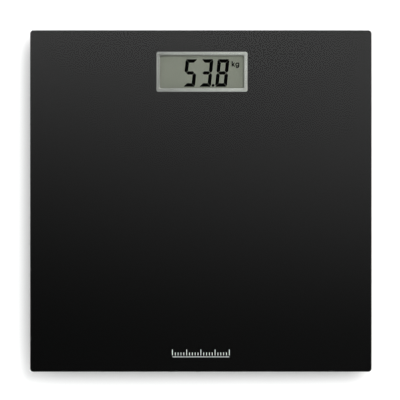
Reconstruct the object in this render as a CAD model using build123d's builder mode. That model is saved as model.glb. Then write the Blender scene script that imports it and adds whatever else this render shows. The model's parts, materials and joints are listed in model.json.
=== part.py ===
from build123d import *
from math import atan2, degrees, hypot
import os

# Digital bathroom scale with a square glass platform.
# Millimetres. The origin is on the floor under the middle of the platform.
# +Z is up, +Y points from the user's feet to the display, +X to the user's right.

os.makedirs("parts", exist_ok=True)

# ---------------------------------------------------------------- driving dimensions

# Glass platform
plate_width = 300.0
plate_depth = 300.0
overall_height = 22.0
plate_thickness = 5.0
plate_corner_radius = 3.0
plate_top_edge_radius = 0.8
plate_bottom_chamfer = 0.3

# Ink on the back of the glass, and the foam tape that the modules hang from
print_thickness = 0.1
print_inset = 0.4
tape_thickness = 0.5
tape_inset = 1.0

# Printed graduation near the front edge
mark_edge_distance = 19.5
tick_pitch = 2.5
ticks_each_side = 10
tick_width = 0.55
short_tick = 2.6
long_tick = 5.2
long_tick_every = 5
mark_line_thickness = 0.45
mark_line_gap = 1.3

# Display window and bezel
display_offset = 1.0
display_edge_distance = 36.3
window_width = 74.0
window_height = 29.0
window_radius = 1.0
bezel_rim_width = 3.15
bezel_rim_radius = 2.0
bezel_flange_width = 1.8
bezel_flange_thickness = 1.2
bezel_rim_below_glass = 0.15
bezel_edge_chamfer = 0.25
bezel_bevel_width = 0.8
bezel_bevel_depth = 0.4
print_window_gap = 0.4

# Liquid crystal display
lcd_land_thickness = 1.0
lcd_border = 3.0
lcd_end_border = 2.5
lcd_ledge = 4.0
lcd_glass_thickness = 1.1
polariser_inset = 1.0
polariser_thickness = 0.2
lcd_pocket_rib = 1.0
connector_width = 2.4
connector_height = 2.5
connector_inset = 5.0
support_strip_width = 3.0

# Circuit board
board_thickness = 1.2
board_side_margin = 3.0
board_front_margin = 5.7
board_corner_radius = 1.0
board_boss_radius = 2.2
board_boss_inset = 4.0
board_screw_radius = 1.0
board_screw_head_radius = 1.8
board_screw_head = 1.3
board_screw_grip = 3.0

# Electronics housing
housing_wall = 1.5
housing_corner_radius = 4.0
housing_depth = 12.4
frame_plate = 1.5
frame_wall_height = 5.9
cover_floor_thickness = 1.8
cover_edge_radius = 1.2
tongue_height = 0.8
tongue_thickness = 0.7
cover_boss_radius = 3.0
cover_pillar_height = 3.5
cover_screw_radius = 1.25
cover_screw_head_radius = 2.5
cover_screw_head = 1.6
cover_screw_recess = 2.0
cover_screw_grip = 6.0

# Coin cell, its well and contacts
cell_diameter = 20.0
cell_thickness = 3.2
cell_cap_radius = 8.6
cell_cap_height = 0.3
cell_headroom = 0.8
well_offset = -18.0
well_wall = 1.2
well_roof = 1.0
contact_thickness = 0.3
contact_width = 3.0
contact_slot_gap = 0.3
negative_contact_offset = -5.5
contact_reach = 3.3

# Battery door and its hinge
door_thickness = 1.0
door_margin = 2.4
door_rib_offset = 6.0
door_rib_width = 1.2
door_rib_length = 12.0
knuckle_radius = 1.2
knuckle_length = 16.0
axle_radius = 0.7
axle_length = 2.2
hinge_height = 1.4
ear_length = 2.7
ear_reach = 1.5
ear_wall_above = 1.2
grip_groove_width = 0.8
grip_groove_depth = 0.3
grip_groove_length = 10.0
grip_groove_pitch = 1.8
thumb_notch_radius = 4.0
thumb_notch_reach = 1.4

# Unit button and tact switch
button_place_x = 30.0
button_place_y = -15.0
button_radius = 4.0
button_recess = 0.3
button_dish_radius = 2.6
button_dish_depth = 0.25
button_flange_radius = 5.2
button_flange_thickness = 0.6
button_travel = 0.3
button_edge_radius = 0.3
switch_size = 6.0
switch_height = 2.2
switch_plunger_radius = 1.5
switch_plunger_show = 0.4
switch_plunger_hidden = 0.8
switch_leg_width = 0.8
switch_leg_length = 1.0
switch_leg_thickness = 0.25

# Foot modules
foot_edge_distance = 38.0
carrier_plate = 1.5
carrier_flange_radius = 28.0
carrier_wall = 2.0
carrier_wall_bottom = 6.0
carrier_edge_radius = 0.3
carrier_rim = 0.8
carrier_rim_overlap = 1.0
carrier_gusset_count = 8
carrier_gusset_height = 2.0
carrier_gusset_thickness = 1.2
hook_width = 8.0
hook_reach = 0.8
hook_thickness = 0.9
cell_gap = 1.5
load_cell_size = 32.0
load_cell_corner_radius = 6.0
load_cell_thickness = 2.2
tongue_width = 14.0
tongue_tip = 9.0
tongue_root = 8.0
tongue_slot = 2.0
tongue_relief_radius = 1.6
gauge_width = 8.0
gauge_length = 6.0
gauge_height = 1.2
gauge_offset = 6.0
cup_radius = 23.0
cup_wall = 1.5
cup_floor = 2.0
cup_edge_radius = 1.0
cup_lip_radius = 0.3
cup_boss_radius = 6.0
cup_rib_count = 6
cup_rib_thickness = 1.2
cup_rib_height = 4.0
cup_drop = 1.0
pad_radius = 17.0
pad_thickness = 2.0
pad_recess = 0.5
pad_edge_radius = 0.5
pad_groove_depth = 0.5
pad_groove_width = 1.0
pad_first_groove = 8.0
pad_groove_pitch = 3.0
pad_groove_count = 3
foot_screw_radius = 1.5
foot_screw_head_radius = 2.75
foot_screw_head = 1.8
foot_screw_recess = 2.0
foot_screw_tip_gap = 0.4

# Wires and their covers
wire_diameter = 1.1
wire_pitch = 1.25
wire_drop_radius = 1.4
wire_bend_radius = 20.0
wire_bend_lead = 3.0
front_wire_entry = 34.0
wire_notch_width = 6.0
channel_width = 7.0
channel_wall = 1.0
channel_flange = 2.5
channel_flange_thickness = 0.8
channel_edge_radius = 0.6

# Clearances
slide_gap = 0.2
locating_gap = 0.15
screw_gap = 0.15
moving_gap = 0.75
axle_gap = 0.06
part_gap = 0.3

# Screwdriver recess
cross_slot_width = 0.6
cross_slot_depth = 0.7

# ---------------------------------------------------------------- levels, from the top down

glass_underside = overall_height - plate_thickness
print_underside = glass_underside - print_thickness
seat_level = print_underside - tape_thickness

bezel_seat = seat_level - bezel_flange_thickness
bezel_top = glass_underside - bezel_rim_below_glass
lcd_land = bezel_seat - lcd_land_thickness
front_glass_top = lcd_land - polariser_thickness
rear_glass_top = front_glass_top - lcd_glass_thickness
reflector_top = rear_glass_top - lcd_glass_thickness
reflector_underside = reflector_top - polariser_thickness
board_top = rear_glass_top - connector_height
board_underside = board_top - board_thickness

frame_ceiling = seat_level - frame_plate
split_level = frame_ceiling - frame_wall_height
cover_underside = seat_level - housing_depth
cover_floor = cover_underside + cover_floor_thickness
pillar_top = cover_underside + cover_pillar_height
cell_underside = cover_floor
cell_top = cell_underside + cell_thickness
well_ceiling = cell_top + cell_headroom
well_top = well_ceiling + well_roof
hinge_level = cover_underside + hinge_height

carrier_ceiling = seat_level - carrier_plate
load_cell_top = carrier_ceiling - cell_gap
load_cell_underside = load_cell_top - load_cell_thickness
wire_level = load_cell_top + wire_diameter / 2
channel_floor = load_cell_top
cup_underside = pad_thickness - pad_recess
cup_floor_top = cup_underside + cup_floor
cup_top = load_cell_top - cup_drop

# ---------------------------------------------------------------- plan sizes and places

display_x = display_offset
display_y = plate_depth / 2 - display_edge_distance
display_place = Plane(origin=(display_x, display_y, 0))

bezel_rim_size = (window_width + 2 * bezel_rim_width, window_height + 2 * bezel_rim_width)
bezel_flange_size = (
    bezel_rim_size[0] + 2 * bezel_flange_width,
    bezel_rim_size[1] + 2 * bezel_flange_width,
)

lcd_width = window_width + 2 * lcd_border
lcd_height = window_height + 2 * lcd_end_border
front_glass_height = lcd_height + lcd_ledge
front_glass_shift = -lcd_ledge / 2
pocket_inner = (lcd_width + 2 * locating_gap, front_glass_height + 2 * locating_gap)
pocket_outer = (pocket_inner[0] + 2 * lcd_pocket_rib, pocket_inner[1] + 2 * lcd_pocket_rib)
pocket_rear = front_glass_shift + pocket_outer[1] / 2
pocket_front = front_glass_shift - pocket_outer[1] / 2
connector_y = -lcd_height / 2 - lcd_ledge / 2
support_strip_y = lcd_height / 2 - polariser_inset - support_strip_width / 2

board_width = pocket_outer[0] + 2 * board_side_margin
board_rear = pocket_rear + 2 * board_boss_radius
board_front = pocket_front - board_front_margin
board_length = board_rear - board_front
board_y = (board_rear + board_front) / 2
board_boss_x = board_width / 2 - board_boss_inset
board_boss_points = [
    (side * board_boss_x, y)
    for side in (-1, 1)
    for y in (pocket_rear + board_boss_radius, pocket_front - board_boss_radius)
]

well_inner_radius = cell_diameter / 2 + 2 * slide_gap
well_outer_radius = well_inner_radius + well_wall
well_y = board_front - part_gap * 2 - well_outer_radius

housing_rear = board_rear + part_gap + slide_gap + housing_wall
housing_front = well_y - well_outer_radius - part_gap * 2 - housing_wall
housing_length = housing_rear - housing_front
housing_y = (housing_rear + housing_front) / 2
housing_half = board_width / 2 + 2 * (cover_boss_radius + slide_gap) + part_gap + housing_wall
housing_width = 2 * housing_half
cover_boss_inset = housing_wall + cover_boss_radius + slide_gap
cover_screw_points = [
    (side * (housing_half - cover_boss_inset), y)
    for side in (-1, 1)
    for y in (housing_rear - cover_boss_inset, housing_front + cover_boss_inset)
]

hinge_y = well_y + well_outer_radius + part_gap + knuckle_radius
door_half = cell_diameter / 2 + door_margin
door_front = well_y - cell_diameter / 2 - part_gap * 4
door_swing_gap = hypot(ear_reach, hinge_height) + part_gap
door_main_end = hinge_y - door_swing_gap
ear_x = knuckle_length / 2 + slide_gap + ear_length / 2

foot_x = plate_width / 2 - foot_edge_distance
foot_y = plate_depth / 2 - foot_edge_distance
cup_inner_radius = cup_radius - cup_wall
carrier_wall_inner = cup_radius + moving_gap
carrier_wall_outer = carrier_wall_inner + carrier_wall

# Where the wires pass the housing wall, seen from the display centre: size across X and Y
rear_entry_y = foot_y - display_y
notches = {
    "rear_left": (-(housing_half - housing_wall / 2), rear_entry_y, True),
    "rear_right": (housing_half - housing_wall / 2, rear_entry_y, True),
    "front_left": (-front_wire_entry, housing_front + housing_wall / 2, False),
    "front_right": (front_wire_entry, housing_front + housing_wall / 2, False),
}
corners = {
    "front_left": (-1, -1),
    "front_right": (1, -1),
    "rear_left": (-1, 1),
    "rear_right": (1, 1),
}


def wire_bend(corner):
    """The point in plan where a corner's wires turn into the housing."""
    x, y, on_side_wall = notches[corner]
    if on_side_wall:
        return Vector(display_x + x, display_y + y, 0)
    return Vector(display_x + x, display_y + housing_front - wire_bend_lead, 0)


def foot_plane(corner):
    """Floor plane under a foot, with its Y axis along the wires towards the housing."""
    side_x, side_y = corners[corner]
    centre = Vector(side_x * foot_x, side_y * foot_y, 0)
    along = (wire_bend(corner) - centre).normalized()
    return Plane(origin=centre, x_dir=(along.Y, -along.X, 0), z_dir=(0, 0, 1))


def housing_outline(inset):
    """Outline of the electronics housing, inset from its outer face."""
    with Locations((0, housing_y)):
        RectangleRounded(
            housing_width - 2 * inset,
            housing_length - 2 * inset,
            housing_corner_radius - inset,
        )


def wall_notches(width, thickness):
    """A rectangle across the housing wall at each place where wires pass it."""
    for x, y, on_side_wall in notches.values():
        with Locations((x, y)):
            if on_side_wall:
                Rectangle(thickness, width)
            else:
                Rectangle(width, thickness)


def graduation(mode):
    """Row of fine ticks over a thin line, a plain mark with no letters."""
    base = -plate_depth / 2 + mark_edge_distance
    for index in range(-ticks_each_side, ticks_each_side + 1):
        height = long_tick if index % long_tick_every == 0 else short_tick
        with Locations((index * tick_pitch, base - long_tick + height / 2)):
            Rectangle(tick_width, height, mode=mode)
    with Locations((0, base - long_tick - mark_line_gap)):
        Rectangle(2 * ticks_each_side * tick_pitch, mark_line_thickness, mode=mode)


def cross_slots(points, angle=0):
    """The two slots of a cross recess in screw heads at the given points."""
    for point in points:
        with Locations(Location(point, angle)):
            Rectangle(cross_slot_width, cross_slot_width * 5)
            Rectangle(cross_slot_width * 5, cross_slot_width)


# ---------------------------------------------------------------- platform

with BuildPart() as glass_platform:
    with BuildSketch(Plane.XY.offset(glass_underside)):
        RectangleRounded(plate_width, plate_depth, plate_corner_radius)
    extrude(amount=plate_thickness)
    chamfer(glass_platform.faces().sort_by(Axis.Z)[0].edges(), plate_bottom_chamfer)
    fillet(glass_platform.faces().sort_by(Axis.Z)[-1].edges(), plate_top_edge_radius)
glass_platform.part.label = "glass_platform"
export_step(glass_platform.part, "parts/glass_platform.step")

with BuildPart() as back_print:
    with BuildSketch(Plane.XY.offset(print_underside)):
        RectangleRounded(
            plate_width - 2 * print_inset,
            plate_depth - 2 * print_inset,
            plate_corner_radius - print_inset,
        )
        with Locations((display_x, display_y)):
            RectangleRounded(
                bezel_rim_size[0] + 2 * print_window_gap,
                bezel_rim_size[1] + 2 * print_window_gap,
                bezel_rim_radius + print_window_gap,
                mode=Mode.SUBTRACT,
            )
        graduation(Mode.SUBTRACT)
    extrude(amount=print_thickness)
back_print.part.label = "back_print"
export_step(back_print.part, "parts/back_print.step")

with BuildPart() as printed_graduation:
    with BuildSketch(Plane.XY.offset(print_underside)):
        graduation(Mode.ADD)
    extrude(amount=print_thickness)
printed_graduation.part.label = "printed_graduation"
export_step(printed_graduation.part, "parts/printed_graduation.step")

# ---------------------------------------------------------------- housing on the glass

with BuildPart() as housing_tape:
    with BuildSketch(display_place.offset(seat_level)):
        housing_outline(tape_inset)
        Rectangle(
            bezel_flange_size[0] + 2 * tape_inset,
            bezel_flange_size[1] + 2 * tape_inset,
            mode=Mode.SUBTRACT,
        )
    extrude(amount=tape_thickness)
housing_tape.part.label = "housing_tape"
export_step(housing_tape.part, "parts/housing_tape.step")

with BuildPart() as housing_frame:
    # Shell: a plate against the tape and a wall down to the split line
    with BuildSketch(display_place.offset(split_level)):
        housing_outline(0)
    extrude(amount=seat_level - split_level)
    with BuildSketch(display_place.offset(split_level)):
        housing_outline(housing_wall)
    extrude(amount=frame_ceiling - split_level, mode=Mode.SUBTRACT)
    with BuildSketch(display_place.offset(split_level)):
        housing_outline(housing_wall - tongue_thickness - locating_gap / 2)
        with Locations((0, housing_y)):
            RectangleRounded(
                housing_width - 2 * housing_wall,
                housing_length - 2 * housing_wall,
                housing_corner_radius - housing_wall,
                mode=Mode.SUBTRACT,
            )
    extrude(amount=tongue_height + locating_gap / 2, mode=Mode.SUBTRACT)
    # Land and pocket that locate the display glass
    with BuildSketch(display_place.offset(lcd_land)):
        with Locations((0, front_glass_shift)):
            Rectangle(*pocket_outer)
    extrude(amount=frame_ceiling - lcd_land)
    with BuildSketch(display_place.offset(reflector_underside)):
        with Locations((0, front_glass_shift)):
            Rectangle(*pocket_outer)
            Rectangle(*pocket_inner, mode=Mode.SUBTRACT)
    extrude(amount=lcd_land - reflector_underside)
    # Bosses for the board and the cover
    with BuildSketch(display_place.offset(board_top)):
        with Locations(*board_boss_points):
            Circle(board_boss_radius)
    extrude(amount=frame_ceiling - board_top)
    with BuildSketch(display_place.offset(pillar_top)):
        with Locations(*cover_screw_points):
            Circle(cover_boss_radius)
    extrude(amount=frame_ceiling - pillar_top)
    with BuildSketch(display_place.offset(board_top)):
        with Locations(*board_boss_points):
            Circle(board_screw_radius)
    extrude(amount=board_screw_grip, mode=Mode.SUBTRACT)
    with BuildSketch(display_place.offset(pillar_top)):
        with Locations(*cover_screw_points):
            Circle(cover_screw_radius)
    extrude(amount=cover_screw_grip, mode=Mode.SUBTRACT)
    # Seat and opening for the bezel
    with BuildSketch(display_place.offset(bezel_seat)):
        RectangleRounded(
            bezel_flange_size[0] + 2 * locating_gap,
            bezel_flange_size[1] + 2 * locating_gap,
            bezel_rim_radius,
        )
    extrude(amount=bezel_flange_thickness, mode=Mode.SUBTRACT)
    with BuildSketch(display_place.offset(lcd_land)):
        RectangleRounded(
            window_width + 2 * locating_gap,
            window_height + 2 * locating_gap,
            window_radius,
        )
    extrude(amount=seat_level - lcd_land, mode=Mode.SUBTRACT)
    # Notches for the wires
    with BuildSketch(display_place.offset(split_level)):
        wall_notches(wire_notch_width, 3 * housing_wall)
    extrude(amount=frame_ceiling - split_level, mode=Mode.SUBTRACT)
housing_frame.part.label = "housing_frame"
export_step(housing_frame.part, "parts/housing_frame.step")

with BuildPart() as display_bezel:
    with BuildSketch(display_place.offset(bezel_seat)):
        RectangleRounded(*bezel_flange_size, bezel_rim_radius)
    extrude(amount=bezel_flange_thickness)
    with BuildSketch(display_place.offset(seat_level)):
        RectangleRounded(*bezel_rim_size, bezel_rim_radius)
    extrude(amount=bezel_top - seat_level)
    chamfer(display_bezel.faces().sort_by(Axis.Z)[-1].edges(), bezel_edge_chamfer)
    with BuildSketch(display_place.offset(bezel_seat)):
        RectangleRounded(window_width, window_height, window_radius)
    extrude(amount=bezel_top - bezel_seat, mode=Mode.SUBTRACT)
    # Bevel that leads the eye down to the display
    bevel_angle = degrees(atan2(bezel_bevel_width, bezel_bevel_depth))
    with BuildSketch(display_place.offset(bezel_top - bezel_bevel_depth)):
        RectangleRounded(window_width, window_height, window_radius)
    extrude(amount=bezel_bevel_depth, taper=-bevel_angle, mode=Mode.SUBTRACT)
display_bezel.part.label = "display_bezel"
export_step(display_bezel.part, "parts/display_bezel.step")

# ---------------------------------------------------------------- liquid crystal display

with BuildPart() as lcd_polariser:
    with BuildSketch(display_place.offset(front_glass_top)):
        Rectangle(lcd_width - 2 * polariser_inset, lcd_height - 2 * polariser_inset)
    extrude(amount=polariser_thickness)
lcd_polariser.part.label = "lcd_polariser"
export_step(lcd_polariser.part, "parts/lcd_polariser.step")

with BuildPart() as lcd_front_glass:
    with BuildSketch(display_place.offset(rear_glass_top)):
        with Locations((0, front_glass_shift)):
            Rectangle(lcd_width, front_glass_height)
    extrude(amount=lcd_glass_thickness)
lcd_front_glass.part.label = "lcd_front_glass"
export_step(lcd_front_glass.part, "parts/lcd_front_glass.step")

with BuildPart() as lcd_rear_glass:
    with BuildSketch(display_place.offset(reflector_top)):
        Rectangle(lcd_width, lcd_height)
    extrude(amount=lcd_glass_thickness)
lcd_rear_glass.part.label = "lcd_rear_glass"
export_step(lcd_rear_glass.part, "parts/lcd_rear_glass.step")

with BuildPart() as lcd_reflector:
    with BuildSketch(display_place.offset(reflector_underside)):
        Rectangle(lcd_width - 2 * polariser_inset, lcd_height - 2 * polariser_inset)
    extrude(amount=polariser_thickness)
lcd_reflector.part.label = "lcd_reflector"
export_step(lcd_reflector.part, "parts/lcd_reflector.step")

with BuildPart() as elastomer_connector:
    with BuildSketch(display_place.offset(board_top)):
        with Locations((0, connector_y)):
            Rectangle(lcd_width - 2 * connector_inset, connector_width)
    extrude(amount=connector_height)
elastomer_connector.part.label = "elastomer_connector"
export_step(elastomer_connector.part, "parts/elastomer_connector.step")

with BuildPart() as lcd_support_strip:
    with BuildSketch(display_place.offset(board_top)):
        with Locations((0, support_strip_y)):
            Rectangle(lcd_width - 2 * connector_inset, support_strip_width)
    extrude(amount=reflector_underside - board_top)
lcd_support_strip.part.label = "lcd_support_strip"
export_step(lcd_support_strip.part, "parts/lcd_support_strip.step")

# ---------------------------------------------------------------- circuit board

with BuildPart() as main_board:
    with BuildSketch(display_place.offset(board_underside)):
        with Locations((0, board_y)):
            RectangleRounded(board_width, board_length, board_corner_radius)
        with Locations(*board_boss_points):
            Circle(board_screw_radius + screw_gap, mode=Mode.SUBTRACT)
    extrude(amount=board_thickness)
main_board.part.label = "main_board"
export_step(main_board.part, "parts/main_board.step")

# Components hang under the board: x, y, width, length and height of each
component_sizes = [
    (8.0, -8.0, 8.0, 3.6, 1.3),
    (-27.0, -10.0, 5.0, 4.0, 1.5),
    (-27.0, 4.0, 5.0, 4.0, 1.5),
    (14.0, 6.0, 2.0, 1.25, 0.8),
    (18.0, 6.0, 2.0, 1.25, 0.8),
    (22.0, 6.0, 2.0, 1.25, 0.8),
    (14.0, 10.0, 1.6, 0.8, 0.5),
    (18.0, 10.0, 1.6, 0.8, 0.5),
    (22.0, 10.0, 1.6, 0.8, 0.5),
    (-12.0, 13.0, 3.2, 1.6, 1.1),
    (-19.0, 13.0, 3.2, 1.6, 1.1),
    (34.0, 4.0, 3.2, 2.5, 1.2),
]
with BuildPart() as board_components:
    for x, y, width, length, height in component_sizes:
        with BuildSketch(display_place.offset(board_underside - height)):
            with Locations((x, y)):
                Rectangle(width, length)
        extrude(amount=height)
board_components.part.label = "board_components"
export_step(board_components.part, "parts/board_components.step")

blob_x = -8.0
blob_y = -2.0
blob_radius = 6.5
blob_height = 1.4
with BuildPart() as controller_blob:
    with BuildSketch(display_place.offset(board_underside - blob_height)):
        with Locations((blob_x, blob_y)):
            Circle(blob_radius)
    extrude(amount=blob_height)
    fillet(controller_blob.faces().sort_by(Axis.Z)[0].edges(), blob_height * 0.9)
controller_blob.part.label = "controller_blob"
export_step(controller_blob.part, "parts/controller_blob.step")

with BuildPart() as board_screws:
    head_underside = board_underside - board_screw_head
    with BuildSketch(display_place.offset(head_underside)):
        with Locations(*board_boss_points):
            Circle(board_screw_head_radius)
    extrude(amount=board_screw_head)
    with BuildSketch(display_place.offset(board_underside)):
        with Locations(*board_boss_points):
            Circle(board_screw_radius)
    extrude(amount=board_thickness + board_screw_grip - part_gap)
    with BuildSketch(display_place.offset(head_underside)):
        cross_slots(board_boss_points)
    extrude(amount=cross_slot_depth, mode=Mode.SUBTRACT)
board_screws.part.label = "board_screws"
export_step(board_screws.part, "parts/board_screws.step")

# ---------------------------------------------------------------- unit button

button_centre = (button_place_x, button_place_y)
switch_underside = board_underside - switch_height
plunger_underside = switch_underside - switch_plunger_show

with BuildPart() as tact_switch:
    with BuildSketch(display_place.offset(switch_underside)):
        with Locations(button_centre):
            RectangleRounded(switch_size, switch_size, switch_leg_width / 2)
    extrude(amount=switch_height)
    with BuildSketch(display_place.offset(board_underside - switch_leg_thickness)):
        with Locations(button_centre):
            with GridLocations(switch_size + switch_leg_length, switch_size * 0.7, 2, 2):
                Rectangle(switch_leg_length, switch_leg_width)
    extrude(amount=switch_leg_thickness)
    with BuildSketch(display_place.offset(switch_underside)):
        with Locations(button_centre):
            Circle(switch_plunger_radius + axle_gap)
    extrude(amount=switch_plunger_hidden + button_travel + slide_gap, mode=Mode.SUBTRACT)
tact_switch.part.label = "tact_switch"
export_step(tact_switch.part, "parts/tact_switch.step")

with BuildPart() as switch_plunger:
    with BuildSketch(display_place.offset(plunger_underside)):
        with Locations(button_centre):
            Circle(switch_plunger_radius)
    extrude(amount=switch_plunger_show + switch_plunger_hidden)
switch_plunger.part.label = "switch_plunger"
export_step(switch_plunger.part, "parts/switch_plunger.step")

with BuildPart() as unit_button:
    with BuildSketch(display_place.offset(cover_underside + button_recess)):
        with Locations(button_centre):
            Circle(button_radius)
    extrude(amount=cover_floor_thickness - button_recess)
    fillet(unit_button.faces().sort_by(Axis.Z)[0].edges(), button_edge_radius)
    with BuildSketch(display_place.offset(cover_floor)):
        with Locations(button_centre):
            Circle(button_flange_radius)
    extrude(amount=button_flange_thickness)
    with BuildSketch(display_place.offset(cover_floor + button_flange_thickness)):
        with Locations(button_centre):
            Circle(switch_plunger_radius)
    extrude(amount=plunger_underside - cover_floor - button_flange_thickness)
    with BuildSketch(display_place.offset(cover_underside + button_recess)):
        with Locations(button_centre):
            Circle(button_dish_radius)
    extrude(amount=button_dish_depth, mode=Mode.SUBTRACT)
unit_button.part.label = "unit_button"
export_step(unit_button.part, "parts/unit_button.step")

# ---------------------------------------------------------------- lower cover

well_centre = (well_offset, well_y)

with BuildPart() as housing_cover:
    with BuildSketch(display_place.offset(cover_underside)):
        housing_outline(0)
    extrude(amount=split_level - cover_underside)
    fillet(housing_cover.faces().sort_by(Axis.Z)[0].edges(), cover_edge_radius)
    with BuildSketch(display_place.offset(cover_floor)):
        housing_outline(housing_wall)
    extrude(amount=split_level - cover_floor, mode=Mode.SUBTRACT)
    # Tongue that seats inside the frame's wall
    with BuildSketch(display_place.offset(split_level)):
        housing_outline(housing_wall - tongue_thickness)
        with Locations((0, housing_y)):
            RectangleRounded(
                housing_width - 2 * housing_wall,
                housing_length - 2 * housing_wall,
                housing_corner_radius - housing_wall,
                mode=Mode.SUBTRACT,
            )
    extrude(amount=tongue_height)
    # Tabs that close the wire notches from below
    with BuildSketch(display_place.offset(split_level)):
        wall_notches(wire_notch_width - 2 * locating_gap, housing_wall)
    extrude(amount=channel_floor - split_level)
    # Pillars under the frame's bosses
    with BuildSketch(display_place.offset(cover_floor)):
        with Locations(*cover_screw_points):
            Circle(cover_boss_radius)
    extrude(amount=pillar_top - cover_floor)
    with BuildSketch(display_place.offset(cover_underside)):
        with Locations(*cover_screw_points):
            Circle(cover_screw_radius + screw_gap)
    extrude(amount=pillar_top - cover_underside, mode=Mode.SUBTRACT)
    with BuildSketch(display_place.offset(cover_underside)):
        with Locations(*cover_screw_points):
            Circle(cover_screw_head_radius + screw_gap)
    extrude(amount=cover_screw_recess, mode=Mode.SUBTRACT)
    # Battery well, open below
    with BuildSketch(display_place.offset(cover_floor)):
        with Locations(well_centre):
            Circle(well_outer_radius)
    extrude(amount=well_top - cover_floor)
    with BuildSketch(display_place.offset(cover_underside)):
        with Locations(well_centre):
            Circle(well_inner_radius)
    extrude(amount=well_ceiling - cover_underside, mode=Mode.SUBTRACT)
    with BuildSketch(display_place.offset(cover_floor + part_gap)):
        with Locations((well_offset, well_y + well_inner_radius)):
            Rectangle(contact_width + 2 * contact_slot_gap, 4 * well_wall)
    extrude(amount=well_ceiling - cover_floor - part_gap, mode=Mode.SUBTRACT)
    with BuildSketch(display_place.offset(cell_top - part_gap)):
        with Locations((well_offset + negative_contact_offset, well_y + well_inner_radius)):
            Rectangle(contact_width + 2 * contact_slot_gap, 6 * well_wall)
    extrude(amount=well_ceiling - cell_top + part_gap, mode=Mode.SUBTRACT)
    # Recess for the door, slot for its knuckle, ears for its axles
    with BuildSketch(display_place.offset(cover_underside)):
        recess_front = door_front - slide_gap
        recess_rear = hinge_y - ear_reach
        with Locations((well_offset, (recess_front + recess_rear) / 2)):
            Rectangle(2 * (door_half + slide_gap), recess_rear - recess_front)
        with Locations((well_offset, door_front + thumb_notch_radius - thumb_notch_reach)):
            Circle(thumb_notch_radius)
    extrude(amount=door_thickness, mode=Mode.SUBTRACT)
    with BuildSketch(display_place.offset(cover_underside)):
        slot_front = hinge_y - knuckle_radius - part_gap
        slot_rear = hinge_y + hinge_height + part_gap
        with Locations((well_offset, (slot_front + slot_rear) / 2)):
            Rectangle(knuckle_length + 2 * slide_gap, slot_rear - slot_front)
    extrude(amount=cover_floor_thickness, mode=Mode.SUBTRACT)
    with BuildSketch(display_place.offset(cover_underside)):
        with Locations((well_offset - ear_x, hinge_y), (well_offset + ear_x, hinge_y)):
            Rectangle(ear_length, 2 * ear_reach)
    extrude(amount=hinge_height + ear_wall_above)
    hinge_plane = Plane(
        origin=(display_x + well_offset, display_y + hinge_y, hinge_level),
        x_dir=(0, 1, 0),
        z_dir=(1, 0, 0),
    )
    with BuildSketch(hinge_plane):
        Circle(axle_radius + axle_gap)
    extrude(amount=ear_x + ear_length / 2, both=True, mode=Mode.SUBTRACT)
    # Hole for the unit button
    with BuildSketch(display_place.offset(cover_underside)):
        with Locations(button_centre):
            Circle(button_radius + slide_gap)
    extrude(amount=cover_floor_thickness, mode=Mode.SUBTRACT)
housing_cover.part.label = "housing_cover"
export_step(housing_cover.part, "parts/housing_cover.step")

with BuildPart() as cover_screws:
    head_seat = cover_underside + cover_screw_recess
    with BuildSketch(display_place.offset(head_seat - cover_screw_head)):
        with Locations(*cover_screw_points):
            Circle(cover_screw_head_radius)
    extrude(amount=cover_screw_head)
    with BuildSketch(display_place.offset(head_seat)):
        with Locations(*cover_screw_points):
            Circle(cover_screw_radius)
    extrude(amount=pillar_top + cover_screw_grip - part_gap - head_seat)
    with BuildSketch(display_place.offset(head_seat - cover_screw_head)):
        cross_slots(cover_screw_points)
    extrude(amount=cross_slot_depth, mode=Mode.SUBTRACT)
cover_screws.part.label = "cover_screws"
export_step(cover_screws.part, "parts/cover_screws.step")

# ---------------------------------------------------------------- battery

with BuildPart() as coin_cell:
    with BuildSketch(display_place.offset(cell_underside)):
        with Locations(well_centre):
            Circle(cell_diameter / 2)
    extrude(amount=cell_thickness - cell_cap_height)
    fillet(coin_cell.edges().group_by(Axis.Z)[0], cell_cap_height)
    with BuildSketch(display_place.offset(cell_top - cell_cap_height)):
        with Locations(well_centre):
            Circle(cell_cap_radius)
    extrude(amount=cell_cap_height)
coin_cell.part.label = "coin_cell"
export_step(coin_cell.part, "parts/coin_cell.step")

# The contacts are bent strips: profiles across the well, seen along X
contact_end = well_outer_radius + part_gap * 2 + contact_reach
strip_level = board_underside - contact_thickness / 2

with BuildPart() as contact_positive:
    contact_plane = Plane(
        origin=(display_x + well_offset, display_y + well_y, 0),
        x_dir=(0, 1, 0),
        z_dir=(1, 0, 0),
    )
    leaf = cell_diameter / 2 + contact_thickness / 2
    with BuildSketch(contact_plane):
        with BuildLine():
            Polyline(
                (leaf, cell_underside + 2 * part_gap),
                (leaf, strip_level - 2 * contact_thickness),
                (well_outer_radius, strip_level),
                (contact_end, strip_level),
            )
        trace(line_width=contact_thickness)
    extrude(amount=contact_width / 2, both=True)
contact_positive.part.label = "contact_positive"
export_step(contact_positive.part, "parts/contact_positive.step")

with BuildPart() as contact_negative:
    contact_plane = Plane(
        origin=(display_x + well_offset + negative_contact_offset, display_y + well_y, 0),
        x_dir=(0, 1, 0),
        z_dir=(1, 0, 0),
    )
    roof_level = well_ceiling - contact_thickness / 2
    with BuildSketch(contact_plane):
        with BuildLine():
            Polyline(
                (-cell_cap_radius / 4, cell_top + contact_thickness / 2),
                (cell_cap_radius / 4, cell_top + contact_thickness / 2),
                (cell_cap_radius * 0.7, roof_level),
                (cell_diameter / 2, roof_level),
                (well_outer_radius, strip_level),
                (contact_end, strip_level),
            )
        trace(line_width=contact_thickness)
    extrude(amount=contact_width / 2, both=True)
contact_negative.part.label = "contact_negative"
export_step(contact_negative.part, "parts/contact_negative.step")

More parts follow.
